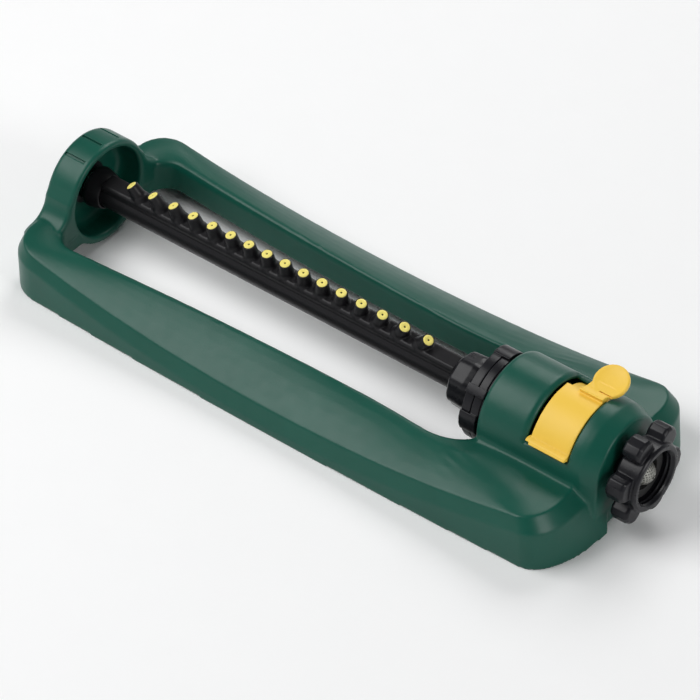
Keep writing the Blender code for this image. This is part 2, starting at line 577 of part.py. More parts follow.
web = slab((-2.2, -2.6, 2.45, 128.5, 141.7), (1.6, -1.2, 1.05, 130.0, 142.4), (6.0, -1.1, 0.95, 131.5, 146.9))
slit = slab((1.35, 0.2, 3.0, 137.3, 150.0), (1.9, 0.2, 3.0, 137.3, 150.0))
add(slider, solid("tool_band", *band), solid("tool_lip", *prism(lip, 119.2, 141.9)),
    solid("tool_ledge", *prism(ledge, 121.6, 141.8)), solid("tool_pad", *loft(pad_rings)),
    solid("tool_web", *web))
cut(slider, solid("tool_port", *sector(20.0, 23.9, 255.0, 285.0, 127.0, 135.0, 3)),
    solid("tool_slit", *slit))

# ---------------------------------------------------------------------------
# Hose inlet
# ---------------------------------------------------------------------------
stem = [(146.0, 6.0), (146.0, 7.6), (147.4, 7.6), (147.4, 6.6), (149.0, 6.6), (149.0, 7.6), (150.8, 7.6),
        (150.8, 8.6), (164.5, 8.6), (164.5, 11.5), (166.4, 11.5), (166.4, 6.0)]
solid("inlet_stem", *lathe(stem, 22), colour=BLACK, rough=0.4)
seal = [(148.2 + 0.5 * math.cos(a), 7.2 + 0.5 * math.sin(a)) for a in (2 * math.pi * k / 6 for k in range(6))]
solid("stem_seal", *lathe(seal, 16), colour=RUBBER, rough=0.6)
washer = [(166.7, 8.3), (166.7, 12.7), (169.3, 12.7), (169.3, 8.3)]
solid("hose_washer", *lathe(washer, 28), colour=RUBBER, rough=0.6)
screen = [(166.7, 5.8), (166.7, 6.6), (168.0, 6.4), (170.0, 5.4), (171.8, 3.8), (173.0, 1.8), (173.4, 0.9),
          (172.7, 0.9), (172.2, 1.7), (171.1, 3.3), (169.5, 4.8), (167.8, 5.7)]
solid("filter_screen", *lathe(screen, 18), colour=GREY, rough=0.5, metal=0.6)

nut_profile = [(162.0, 9.0), (162.0, 16.4), (162.8, 17.2), (173.9, 17.5), (175.0, 16.6), (175.0, 14.5),
               (173.8, 13.9), (173.2, 13.2), (172.6, 13.9), (171.6, 13.9), (171.0, 13.2), (170.4, 13.9),
               (164.2, 13.9), (164.2, 9.0)]
nut = solid("hose_nut", *lathe(nut_profile, 30), origin=(168.0, 0.0, AXIS_Z), colour=BLACK, rough=0.3)
lobe = [(15.5, -20.0), (21.0, -17.0), (23.6, -12.5), (24.7, -5.0), (24.7, 5.0), (23.6, 12.5), (21.0, 17.0),
        (15.5, 20.0)]
lobes = []
for k in range(6):
    a = 48.0 + 60.0 * k
    full = [polar(r, a + s) for r, s in lobe]
    small = [polar(r - (1.1 if r > 16 else 0.0), a + 0.93 * s) for r, s in lobe]
    lobes.append(loft([[(x, y, z) for y, z in points] for x, points in
                       ((162.6, small), (163.8, full), (171.0, full), (172.4, small))]))
add(nut, solid("tool_lobes", *merged(*lobes)))
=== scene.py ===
"""Looks of the oscillating lawn sprinkler.

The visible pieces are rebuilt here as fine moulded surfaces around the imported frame: the green base, the
black tube with its nozzles, the range rings, hub, lever, the yellow slider and the hose nut. Shape values are
in millimetres in the frame's axes: X along the spray axis towards the hose inlet, Z up, the floor at z = 0.
Directions about the spray axis are in degrees from +Y towards +Z."""

import json
import math

import bmesh
import bpy
from mathutils import Matrix, Vector


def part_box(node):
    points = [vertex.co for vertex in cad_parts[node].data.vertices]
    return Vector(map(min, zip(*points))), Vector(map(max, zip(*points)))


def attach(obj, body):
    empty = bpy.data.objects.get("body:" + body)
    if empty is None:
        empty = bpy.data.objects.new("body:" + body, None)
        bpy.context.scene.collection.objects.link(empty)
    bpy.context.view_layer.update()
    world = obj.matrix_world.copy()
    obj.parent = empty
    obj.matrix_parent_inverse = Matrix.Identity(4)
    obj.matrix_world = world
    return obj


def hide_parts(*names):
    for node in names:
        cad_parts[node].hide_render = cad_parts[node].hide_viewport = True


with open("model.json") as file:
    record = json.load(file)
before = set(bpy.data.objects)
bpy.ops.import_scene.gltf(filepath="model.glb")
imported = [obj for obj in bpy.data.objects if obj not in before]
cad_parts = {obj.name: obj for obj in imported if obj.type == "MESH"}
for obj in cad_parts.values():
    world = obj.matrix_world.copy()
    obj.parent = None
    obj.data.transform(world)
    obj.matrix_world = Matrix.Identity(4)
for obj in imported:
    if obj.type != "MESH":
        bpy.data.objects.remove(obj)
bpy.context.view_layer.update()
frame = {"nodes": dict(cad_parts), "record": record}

MM = 0.001


# ---------------------------------------------------------------------------
# Sizes read from the frame
# ---------------------------------------------------------------------------
def node_box(node):
    """Lowest and highest corners of a CAD node, in millimetres."""
    low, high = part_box(node)
    return low / MM, high / MM


base_low, base_high = node_box("base_frame")
tube_low, tube_high = node_box("spray_tube")
nut_low, nut_high = node_box("hose_nut")
AXIS_Z = 0.5 * (node_box("centre_axle")[0].z + node_box("centre_axle")[1].z)
X_LEFT, X_RIGHT = base_low.x, base_high.x
BOW = 3.0                                      # outward bow of the rails at mid length
HALF_W = base_high.y - BOW
X_MID = 0.5 * (X_LEFT + X_RIGHT)
CORNER_L, BAND = 19.6, 3.2                     # corner radius at the hood end, run of the sloping band
HOLE_L, HOLE_R = X_LEFT + 17.5, X_RIGHT - 69.8   # ends of the gap between the rails
LIP, CROWN, SHELL = 3.2, 3.6, 2.6              # run of the gap's round lip, fullness on top, wall
HOOD_R = base_high.z - AXIS_Z
HOOD_BORE = HOOD_R - 3.8
GROOVES, GROOVE_HALF = (63.0, 90.0, 117.0), 1.5  # directions of the grooves on the hood, half width
BARREL_X0, BARREL_X1 = 91.3, 158.0
BARREL_R, BARREL_BORE = HOOD_R - 1.0, HOOD_R - 3.8
FILLET = 4.2                                   # fillets along the barrel's two sides
SLOT_X0, SLOT_X1, SLOT_A0, SLOT_A1 = 118.6, 142.5, 51.0, 161.5   # opening for the flow slider
TUBE_R = 7.6
NOZZLES = 16
TUBE_TURN = math.radians(11.0)                 # the tube's top leans this far towards -Y
PEG_TOP, PEG_FOOT = 17.2, 8.0
PEG_REACH = PEG_TOP - PEG_FOOT
RING_A, RING_B = 86.0, 166.0                   # finger edges that meet the trip lever
RING_R, FINGER_R, FINGER_SPAN = 23.2, 24.9, 28.0
FINGER_X0, FINGER_X1 = 79.9, 89.3
LEVER_A, LEVER_HALF = 138.0, 5.0
COLLAR_FACETS, COLLAR_STEP = 8, 4.0            # facets round the tube collar, degrees between its points
NUT_LOBES = 6


# ---------------------------------------------------------------------------
# Shape tools
# ---------------------------------------------------------------------------
def ramp(value, low, high):
    """0 at low, 1 at high, a straight line between them."""
    return max(0.0, min(1.0, (value - low) / (high - low)))


def smooth(t):
    """0 to 1 with a level start and end."""
    return t * t * (3.0 - 2.0 * t)


def polar(r, degrees):
    """(y, z) at a radius and direction about the spray axis."""
    a = math.radians(degrees)
    return r * math.cos(a), AXIS_Z + r * math.sin(a)


def lists(bm):
    """Vertex and face lists of a finished bmesh."""
    bm.verts.index_update()
    shape = [tuple(v.co) for v in bm.verts], [tuple(v.index for v in f.verts) for f in bm.faces]
    bm.free()
    return shape


def loft(rings, closed=False):
    """Skin over equal-length rings of points; capped at both ends unless the rings close on themselves."""
    n, m = len(rings[0]), len(rings)
    verts = [p for ring in rings for p in ring]
    faces = []
    for i in range(m if closed else m - 1):
        a, b = i * n, ((i + 1) % m) * n
        faces += [(a + j, a + (j + 1) % n, b + (j + 1) % n, b + j) for j in range(n)]
    if not closed:
        faces += [tuple(range(n)), tuple(range((m - 1) * n, m * n))]
    return verts, faces


def spun(profile, segs, centre, axis, side, closed=True):
    """(height, radius) profile spun once about an axis; an open profile starts and ends on the axis."""
    bm = bmesh.new()
    verts = [bm.verts.new(centre + axis * h + side * r) for h, r in profile]
    edges = [bm.edges.new((verts[i - 1], verts[i])) for i in range(0 if closed else 1, len(verts))]
    bmesh.ops.spin(bm, geom=verts + edges, cent=centre, axis=axis, angle=2.0 * math.pi, steps=segs,
                   use_merge=True)
    return lists(bm)


def lathe(profile, segs=96, closed=True):
    """(x, r) profile turned about the spray axis."""
    centre, axis, side = Vector((0.0, 0.0, AXIS_Z)), Vector((1.0, 0.0, 0.0)), Vector((0.0, 1.0, 0.0))
    return spun(profile, segs, centre, axis, side, closed)


def rod(x0, x1, r, segs=96):
    """Plain cylinder on the spray axis."""
    place = Matrix.Translation((0.5 * (x0 + x1), 0.0, AXIS_Z)) @ Matrix.Rotation(math.pi / 2, 4, "Y")
    bm = bmesh.new()
    bmesh.ops.create_cone(bm, cap_ends=True, segments=segs, radius1=r, radius2=r, depth=x1 - x0,
                          matrix=place)
    return lists(bm)


def box(x0, x1, y0, y1, z0, z1):
    """Block between two corners."""
    bm = bmesh.new()
    place = Matrix.Translation((0.5 * (x0 + x1), 0.5 * (y0 + y1), 0.5 * (z0 + z1)))
    bmesh.ops.create_cube(bm, size=1.0, matrix=place @ Matrix.Diagonal((x1 - x0, y1 - y0, z1 - z0, 1.0)))
    return lists(bm)


def prism(points, x0, x1):
    """(y, z) outline extruded along X."""
    return loft([[(x, y, z) for y, z in points] for x in (x0, x1)])


def sector(r0, r1, a0, a1, x0, x1, steps=48):
    """Block between two radii and two directions about the spray axis."""
    angles = [a0 + (a1 - a0) * k / steps for k in range(steps + 1)]
    return prism([polar(r1, a) for a in angles] + [polar(r0, a) for a in reversed(angles)], x0, x1)


def leaned(shape):
    """Shape turned about the spray axis into the tube's set position."""
    c, s = math.cos(TUBE_TURN), math.sin(TUBE_TURN)
    verts, faces = shape
    return [(x, y * c - (z - AXIS_Z) * s, y * s + (z - AXIS_Z) * c + AXIS_Z) for x, y, z in verts], faces


def solid(name, shape):
    """Mesh object from a shape in millimetres, with its faces turned outward."""
    verts, faces = shape
    mesh = bpy.data.meshes.new(name)
    mesh.from_pydata([Vector(v) * MM for v in verts], [], faces)
    bm = bmesh.new()
    bm.from_mesh(mesh)
    bmesh.ops.remove_doubles(bm, verts=bm.verts, dist=1e-7)
    bmesh.ops.recalc_face_normals(bm, faces=bm.faces)
    bm.to_mesh(mesh)
    bm.free()
    obj = bpy.data.objects.new(name, mesh)
    bpy.context.scene.collection.objects.link(obj)
    return obj


def applied(obj):
    """Turn an object's modifiers into its mesh."""
    graph = bpy.context.evaluated_depsgraph_get()
    mesh = bpy.data.meshes.new_from_object(obj.evaluated_get(graph))
    obj.modifiers.clear()
    obj.data = mesh


def joined(obj, operation, *shapes):
    """Unite a solid with shapes, or cut them from it."""
    for shape in shapes:
        tool = solid(f"{obj.name}_tool", shape)
        mod = obj.modifiers.new("join", "BOOLEAN")
        mod.operation, mod.solver, mod.object = operation, "EXACT", tool
        applied(obj)
        bpy.data.objects.remove(tool)


def add(obj, *shapes):
    joined(obj, "UNION", *shapes)


def cut(obj, *shapes):
    joined(obj, "DIFFERENCE", *shapes)


def moulded(obj, voxel, rounds, share):
    """Round every edge and inner corner a little, as a moulding does: remesh, relax, then thin out."""
    skin = obj.modifiers.new("skin", "REMESH")
    skin.mode, skin.voxel_size = "VOXEL", voxel * MM
    relax = obj.modifiers.new("relax", "SMOOTH")
    relax.factor, relax.iterations = 0.5, rounds
    thin = obj.modifiers.new("thin", "DECIMATE")
    thin.ratio = share
    applied(obj)
    obj.data.shade_smooth()
    return obj


def dress(obj, body, slot, material, *nodes):
    """Finish a piece: its material, the body that it rides on and the CAD nodes that it stands for."""
    obj.data.materials.clear()
    obj.data.materials.append(material)
    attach(obj, body)
    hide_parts(*nodes)


# ---------------------------------------------------------------------------
# Materials
# ---------------------------------------------------------------------------
def plastic(name, colour, rough, grain=1100.0, relief=0.00004, cloud=0.12, metal=0.0, shine=0.35):
    """Moulded plastic: faint colour clouds, a fine grain in the surface and slightly uneven gloss."""
    uneven = 0.06
    mat = bpy.data.materials.new(name)
    mat.use_nodes = True
    tree = mat.node_tree
    shader = tree.nodes["Principled BSDF"]
    shader.inputs["Metallic"].default_value = metal
    shader.inputs["Specular IOR Level"].default_value = shine
    place = tree.nodes.new("ShaderNodeTexCoord")

    def noise(scale, detail):
        node = tree.nodes.new("ShaderNodeTexNoise")
        node.inputs["Scale"].default_value = scale
        node.inputs["Detail"].default_value = detail
        tree.links.new(place.outputs["Object"], node.inputs["Vector"])
        return node

    clouds = noise(45.0, 3.0)
    tint = tree.nodes.new("ShaderNodeMix")
    tint.data_type = "RGBA"
    dark = [c * (1.0 - cloud) for c in colour]
    light = [min(1.0, c * (1.0 + cloud)) for c in colour]
    tint.inputs["A"].default_value = (*dark, 1.0)
    tint.inputs["B"].default_value = (*light, 1.0)
    tree.links.new(clouds.outputs["Fac"], tint.inputs["Factor"])
    tree.links.new(tint.outputs["Result"], shader.inputs["Base Color"])

    patches = noise(160.0, 2.0)
    gloss = tree.nodes.new("ShaderNodeMapRange")
    gloss.inputs["To Min"].default_value = rough - uneven
    gloss.inputs["To Max"].default_value = rough + uneven
    tree.links.new(patches.outputs["Fac"], gloss.inputs["Value"])
    tree.links.new(gloss.outputs["Result"], shader.inputs["Roughness"])

    bump = tree.nodes.new("ShaderNodeBump")
    bump.inputs["Distance"].default_value = relief
    bump.inputs["Strength"].default_value = 0.6
    tree.links.new(noise(grain, 2.0).outputs["Fac"], bump.inputs["Height"])
    tree.links.new(bump.outputs["Normal"], shader.inputs["Normal"])
    return mat


def woven(name, colour, gaps=(0.03, 0.03, 0.028), pitch=270.0, depth=0.0003):
    """Fine woven wire screen: two crossed sets of waves, raised and bright on the wires."""
    mat = plastic(name, colour, 0.4, metal=0.7)
    tree = mat.node_tree
    shader, bump = tree.nodes["Principled BSDF"], tree.nodes["Bump"]
    place = tree.nodes["Texture Coordinate"]
    waves = []
    for direction in ("Y", "Z"):
        wave = tree.nodes.new("ShaderNodeTexWave")
        wave.bands_direction = direction
        wave.inputs["Scale"].default_value = pitch
        tree.links.new(place.outputs["Object"], wave.inputs["Vector"])
        waves.append(wave)
    both = tree.nodes.new("ShaderNodeMath")
    both.operation = "MAXIMUM"
    for socket, wave in zip(both.inputs, waves):
        tree.links.new(wave.outputs["Fac"], socket)
    tree.links.new(both.outputs["Value"], bump.inputs["Height"])
    bump.inputs["Distance"].default_value = depth
    tint = tree.nodes["Mix"]
    tint.inputs["A"].default_value = (*gaps, 1.0)
    tint.inputs["B"].default_value = (*colour, 1.0)
    tree.links.new(both.outputs["Value"], tint.inputs["Factor"])
    return mat


GREEN = plastic("green_moulding", (0.0045, 0.078, 0.053), 0.36, shine=0.32)
BLACK = plastic("black_moulding", (0.010, 0.010, 0.0125), 0.29, shine=0.24)
TUBE_BLACK = plastic("tube_moulding", (0.010, 0.0095, 0.011), 0.38, shine=0.25)
YELLOW = plastic("slider_yellow", (0.93, 0.60, 0.075), 0.42, relief=0.00002, cloud=0.03)
PALE = plastic("tip_yellow", (0.90, 0.78, 0.20), 0.45, relief=0.00002, cloud=0.04)
WHITE = plastic("natural_acetal", (0.70, 0.70, 0.67), 0.45, cloud=0.04)
STEEL = plastic("stainless_steel", (0.55, 0.55, 0.56), 0.3, metal=1.0)
RUBBER = plastic("black_rubber", (0.02, 0.02, 0.02), 0.7)
MESH = woven("wire_screen", (0.34, 0.34, 0.31))


# ---------------------------------------------------------------------------
# Base: two rails and two ends as one thin-walled channel, hood, barrel
# ---------------------------------------------------------------------------
def outer_y(x):
    """Half width of the base."""
    return HALF_W + BOW * (1.0 - ((x - X_MID) / 150.0) ** 2)


def crease_z(x):
    """Height of the crease between the sloping band and the upper face; it rises towards both ends."""
    along = 1.02 * x + 3.5
    t = abs(along + 10.0) / 155.0
    return 13.0 + 12.4 * t ** 2 + 2.2 * t ** 4 - 149.0 * max(0.0, t - 0.955) ** 2


def skirt_z(x):
    """Height of the upright skirt below the sloping band."""
    t = abs(x + 10.0) / 155.0
    return 4.3 + 17.3 * t ** 2 - 108.0 * max(0.0, t - 0.9) ** 2


def inner_y(x):
    """Half width of the gap between the rails."""
    return 32.2 + 8.5 * ramp(x, 80.0, -145.0) ** 2.3 + 2.6 * ramp(x, 30.0, 78.0) ** 1.5


def inner_z(x):
    """Height of the gap's lip, which rises where it meets the barrel."""
    return 24.6 + 0.01 * (80.0 - x) + 3.0 * ramp(x, 60.0, 91.0) ** 1.5


def top_z(x, y):
    """Height of the upper face at the inlet end, from beside the barrel out to the crease."""
    side, rim = outer_y(x) - BAND, inner_y(x) + LIP
    s, lift = ramp(abs(y), rim, side), smooth(ramp(x, 85.0, 122.0))
    fullness = (CROWN + 2.4 * lift) * (1.0 - smooth(ramp(x, 120.0, 148.0)))
    return (inner_z(x) + 1.3 * lift) * (1.0 - s) + crease_z(x) * s + fullness * s * (1.0 - s)


def arc(cx, cy, rx, ry, a0, a1, steps):
    """Points along part of an ellipse."""
    return [(cx + rx * math.cos(math.radians(a0 + (a1 - a0) * k / steps)),
             cy + ry * math.sin(math.radians(a0 + (a1 - a0) * k / steps))) for k in range(steps + 1)]


def half_path(bound, x_start, x_stop, left_r, rx, ry):
    """Front half (y <= 0) of an outline, from the left end centre round to the right end centre."""
    side, corner, head_steps, tail_steps = 110, 30, 16, 16
    x0, x1 = x_start + left_r, x_stop - rx
    left = arc(x0, -bound(x0) + left_r, left_r, left_r, 180, 270, corner)
    right = arc(x1, -bound(x1) + ry, rx, ry, 270, 360, corner)
    middle = [(x, -bound(x)) for x in (x0 + (x1 - x0) * k / side for k in range(1, side))]
    head = [(left[0][0], left[0][1] * k / head_steps) for k in range(0, head_steps)]
    tail = [(right[-1][0], right[-1][1] * k / tail_steps) for k in range(tail_steps - 1, -1, -1)]
    return head + left + middle + right + tail


def full_path(*shape):
    """Whole closed outline: the front half and its mirror image."""
    front = half_path(*shape)
    return [Vector(p) for p in front + [(x, -y) for x, y in reversed(front[1:-1])]]


def frame_rings():
    """Wall sections round the base: foot, skirt edge, upper face, lip, inner wall, then back inside."""
    outer = full_path(outer_y, X_LEFT, X_RIGHT, CORNER_L, 19.0, 36.7)
    skirts = full_path(outer_y, X_LEFT, X_RIGHT - 6.1, CORNER_L, 14.0, 22.0)
    creases = full_path(lambda x: outer_y(x) - BAND, X_LEFT + BAND, X_RIGHT - 12.8, CORNER_L - BAND,
                        12.0, 17.0)
    inner = full_path(inner_y, HOLE_L, HOLE_R, 11.0, 22.0, 11.3)
    rings = []
    for i, (o, skirt, crease, n) in enumerate(zip(outer, skirts, creases, inner)):
        run = outer[(i + 1) % len(outer)] - outer[i - 1]
        normal = Vector((run.y, -run.x)).normalized()
        if normal.dot(o - n) < 0:
            normal.negate()
        back = (n - o).normalized()
        zl, zu, zi = skirt_z(skirt.x), crease_z(crease.x), inner_z(n.x)
        foot = 0.8 + 8.5 * (1.0 - ramp(n.x, 76.0, HOLE_R - 1.0))
        if n.x < HOLE_L + 0.1:                   # under the hood the wall's foot follows the opening
            foot = min(foot, AXIS_Z - math.sqrt(max(0.0, (HOOD_R + 0.5) ** 2 - n.y ** 2)))
        lip, round_1 = n - back * LIP, n - back * 0.9
        deep = min(0.45 * (n - o).length, 5.0)
        upper = []
        for t in (0.0, 0.2, 0.4, 0.6, 0.8):
            p, z = crease.lerp(lip, t), zu + (zi - zu) * t + CROWN * t * (1.0 - t)
            upper.append((p, z + (top_z(p.x, p.y) - z) * smooth(ramp(p.x, 20.0, 60.0))))
        points = [(o, 0.0), (skirt, zl), *upper, (lip, zi), (round_1, zi - 0.9), (n, zi - 3.4), (n, foot),
                  (n - back * SHELL, foot), (n - back * SHELL, zi - 3.9), (lip - back * 1.3, zi - SHELL)]
        points += [(p, z - SHELL) for p, z in reversed(upper[1:])]
        points += [(crease - normal * deep * 0.35, zu - SHELL),
                   (skirt - normal * SHELL, min(zl, zu - SHELL) - 1.2), (o - normal * SHELL, 0.0)]
        rings.append([(p.x, p.y, z) for p, z in points])
    return rings


def bell(x, r, rise):
    """(y, z) section of the hood: a circle with concave flares down to the frame top."""
    fillet = 13.0
    cy = r + fillet
    pts = [(cy + 4.0, 18.0), (cy + 4.0, rise - 1.5), (cy + 0.5, rise - 0.1)]
    pts += [(cy - fillet * math.sin(math.radians(a)), rise + fillet - fillet * math.cos(math.radians(a)))
            for a in range(4, 88, 6)]
    start = math.degrees(math.asin((rise + fillet + 1.0 - AXIS_Z) / r))
    steps = 30
    pts += [polar(r, start + (90.0 - start) * k / steps) for k in range(1, steps)]
    low = [polar(r, -90.0 + 64.0 * k / 24) for k in range(1, 25)]
    right = low + [(r + 2.0, 17.0)] + pts
    left = [(-y, z) for y, z in reversed(right)]
    return [(x, y, z) for y, z in [polar(r, -90.0)] + right + [polar(r, 90.0)] + left]


def arch(x, r, foot):
    """Barrel section: half circle above the axis, straight legs down to the foot height."""
    top = [polar(r, 180.0 * k / 90) for k in range(91)]
    return [(x, r, foot)] + [(x, y, z) for y, z in top] + [(x, -r, foot)]


def build_base():
    base = solid("base_shell", loft(frame_rings(), closed=True))
    hood = [(-174.9, 26.2, 25.0), (-174.3, 27.3, 25.9), (-172.8, 28.0, 26.4), (-168.0, HOOD_R, 26.6),
            (-158.7, HOOD_R, 26.6), (-157.6, HOOD_R - 0.5, 26.2), (-156.9, HOOD_R - 1.7, 25.2)]
    barrel = [(BARREL_X0, 25.4), (92.0, 26.5), (93.4, BARREL_R), (146.0, BARREL_R), (150.0, 26.5),
              (BARREL_X1, 23.3)]
    fillets = []
    for side in (1, -1):
        outline = [(side * (BARREL_R - 1.0), 24.0), (side * (BARREL_R + FILLET), 24.0)]
        outline += [(side * (BARREL_R + FILLET - FILLET * math.sin(math.radians(a))),
                     31.4 - FILLET * math.cos(math.radians(a))) for a in range(0, 90, 10)]
        outline += [(side * (BARREL_R - 1.0), 31.4)]
        fillets.append(prism(outline, 94.0, 147.5))
    add(base, loft([bell(*section) for section in hood]), loft([arch(x, r, 1.0) for x, r in barrel]),
        rod(88.6, 93.0, 15.5), *fillets)
    hood_bore = [(-172.2, 0.0), (-172.2, HOOD_BORE - 3.0), (-171.0, HOOD_BORE - 0.9), (-168.5, HOOD_BORE),
                 (-158.2, HOOD_BORE), (-156.5, HOOD_BORE + 1.0), (-156.5, 0.0)]
    bevel_section = ((116.2, 27.05), (119.4, 25.1), (119.4, 29.0), (116.2, 29.0))
    bevel = []
    for k in range(61):
        a = SLOT_A0 - 1.5 + (SLOT_A1 - SLOT_A0 + 3.0) * k / 60
        bevel.append([(x, *polar(r, a)) for x, r in bevel_section])
    notch = [(158.1, -13.5), (163.0, -18.5), (163.0, 18.5), (158.1, 13.5)]
    cut(base, lathe(hood_bore, closed=False), loft([arch(x, BARREL_BORE, -5.0) for x in (94.3, 154.5)]),
        sector(18.0, 31.0, SLOT_A0, SLOT_A1, SLOT_X0, SLOT_X1), loft(bevel), rod(80.0, 99.0, 14.0),
        rod(150.0, 170.0, 9.0), box(90.0, 96.0, -4.0, 4.0, 10.9, 14.2),
        loft([[(x, y, z) for x, y in notch] for z in (-1.0, 34.0)]))
    moulded(base, 0.7, 6, 0.3)
    cut(base, *[sector(HOOD_R - 1.1, HOOD_R + 3.0, a - GROOVE_HALF, a + GROOVE_HALF, -173.2, -160.5, 2)
                for a in GROOVES])
    dress(base, "base", "frame_plastic", GREEN, "base_frame")


# ---------------------------------------------------------------------------
# Spray tube with its nozzles
# ---------------------------------------------------------------------------
def peg_frame(index):
    """Foot point and direction of a nozzle in the tube's upright position."""
    u = (2.0 * index - (NOZZLES - 1)) / (NOZZLES - 1)
    tilt = math.radians(18.0 * u + 18.0 * u ** 3)
    tip_x = -46.7 + 84.3 * u + 7.9 * u ** 3
    foot = Vector((tip_x - PEG_REACH * math.sin(tilt), 0.0, AXIS_Z + PEG_FOOT))
    return foot, Vector((math.sin(tilt), 0.0, math.cos(tilt)))


def peg_spun(index, profile, segs, closed=False):
    """(height, radius) profile spun about one nozzle's own axis."""
    foot, up = peg_frame(index)
    return spun(profile, segs, foot, up, Vector((0.0, 1.0, 0.0)), closed)


def build_tube():
    tube = solid("spray_tube_skin", leaned(rod(tube_low.x, tube_high.x, TUBE_R)))
    spine = [(-5.0, AXIS_Z + 3.0), (-5.0, AXIS_Z + 8.0), (-4.6, AXIS_Z + 9.2), (-3.6, AXIS_Z + 10.0),
             (3.6, AXIS_Z + 10.0), (4.6, AXIS_Z + 9.2), (5.0, AXIS_Z + 8.0), (5.0, AXIS_Z + 3.0)]
    seam = [(0.7, AXIS_Z - 5.0), (0.7, AXIS_Z - 7.9), (-0.7, AXIS_Z - 7.9), (-0.7, AXIS_Z - 5.0)]
    peg = [(-1.5, 0.0), (-1.5, 4.9), (1.9, 4.5), (2.8, 3.9), (4.2, 3.6), (PEG_REACH, 3.2), (PEG_REACH, 0.0)]
    add(tube, leaned(prism(spine, -156.0, 62.6)), leaned(prism(seam, -150.0, 62.0)))
    add(tube, *[leaned(peg_spun(i, peg, 32)) for i in range(NOZZLES)])
    moulded(tube, 0.42, 4, 0.35)
    dress(tube, "spray_bar", "tube_plastic", TUBE_BLACK, "spray_tube")
    top = PEG_REACH
    tip = [(top - 1.5, 0.42), (top - 1.5, 2.6), (top + 0.05, 2.6), (top + 0.25, 2.5), (top + 0.42, 2.2),
           (top + 0.5, 1.7), (top + 0.42, 0.75), (top + 0.2, 0.5), (top - 0.6, 0.42)]
    for i in range(NOZZLES):
        name = f"nozzle_tip_{i + 1:02d}"
        piece = solid(f"{name}_fine", leaned(peg_spun(i, tip, 40, closed=True)))
        piece.data.shade_smooth()
        piece.data.set_sharp_from_angle(angle=math.radians(50.0))
        dress(piece, "spray_bar", "tip_plastic", PALE, name)


def build_hood_end():
    cap = [(-171.2, 0.0), (-171.2, 4.5), (-170.7, 5.0), (-165.6, 5.0), (-165.6, 10.0), (-164.8, 10.8),
           (-163.0, 10.8), (-156.5, 8.9), (-156.5, 7.9), (-161.3, 7.9), (-161.3, 5.3), (-154.0, 5.3),
           (-154.0, 0.0)]
    piece = moulded(solid("tube_end_cap_fine", lathe(cap, closed=False)), 0.35, 3, 0.4)
    dress(piece, "spray_bar", "tube_plastic", TUBE_BLACK, "tube_end_cap")


# ---------------------------------------------------------------------------
# Collar, hub, range rings and trip lever
# ---------------------------------------------------------------------------
def range_ring(name, body, x0, x1, edge, away):
    """Wide collar with one raised finger over both rings, reaching away from the trip lever's side."""
    steps = 24
    across = [edge + away * FINGER_SPAN * k / steps for k in range(steps + 1)]
    outside = []
    for k, a in enumerate(across):
        t = k / steps
        outside.append(polar(FINGER_R - 0.9 * t ** 4 - 0.8 * (1.0 - t) ** 5, a))
    inset = [across[0] + away * 0.6, *across[1:-1], across[-1] - away * 0.6]
    root = [polar(FINGER_R - 0.8, a) for a in inset] + [polar(21.0, across[-1]), polar(21.0, across[0])]
    inside = [polar(RING_R + 0.3, a) for a in reversed(across)]
    ring = solid(f"{name}_fine", rod(x0, x1, RING_R, 160))
    add(ring, prism(root, x0 + 0.1, x1 - 0.1), prism(outside + inside, FINGER_X0, FINGER_X1))
    cut(ring, rod(78.0, 92.0, 16.5))
    dress(moulded(ring, 0.3, 2, 0.3), body, "black_plastic", BLACK, name)


def build_drive():
    facets = []
    for x, r in ((62.9, 10.9), (63.5, 12.3), (64.6, 13.3), (72.0, 13.8), (75.2, 13.2), (76.6, 12.2)):
        facets.append([(x, *polar(r * (1.0 + 0.03 * math.cos(math.radians(COLLAR_FACETS * COLLAR_STEP * k))),
                                  COLLAR_STEP * k + 11.0)) for k in range(90)])
    collar = solid("tube_collar_fine", loft(facets))
    cut(collar, rod(60.0, 80.0, 7.9))
    moulded(collar, 0.35, 4, 0.4)
    dress(collar, "spray_bar", "black_plastic", BLACK, "tube_collar")
    hub = [(76.9, 7.9), (76.9, 15.6), (77.6, 16.8), (79.1, 17.0), (79.6, 16.2), (88.2, 16.2), (88.2, 13.6),
           (98.2, 13.6), (98.2, 11.8), (80.0, 11.8), (80.0, 7.9)]
    dress(moulded(solid("drive_hub_fine", lathe(hub)), 0.35, 3, 0.35), "spray_bar", "black_plastic", BLACK,
          "drive_hub")
    range_ring("range_ring_a", "ring_a", 80.0, 84.7, RING_A, -1.0)
    range_ring("range_ring_b", "ring_b", 85.0, 89.4, RING_B, 1.0)
    lever = solid("trip_lever_fine", lathe(((89.7, 15.8), (89.7, 23.2), (91.0, 23.2), (91.0, 15.8))))
    low, high = LEVER_A - LEVER_HALF, LEVER_A + LEVER_HALF
    add(lever, sector(22.6, 25.6, low + 0.4, high - 0.4, 89.8, 90.9, 8),
        sector(RING_R + 0.4, 25.9, low, high, 80.4, 90.95, 8))
    dress(moulded(lever, 0.3, 2, 0.4), "lever", "black_plastic", BLACK, "trip_lever")


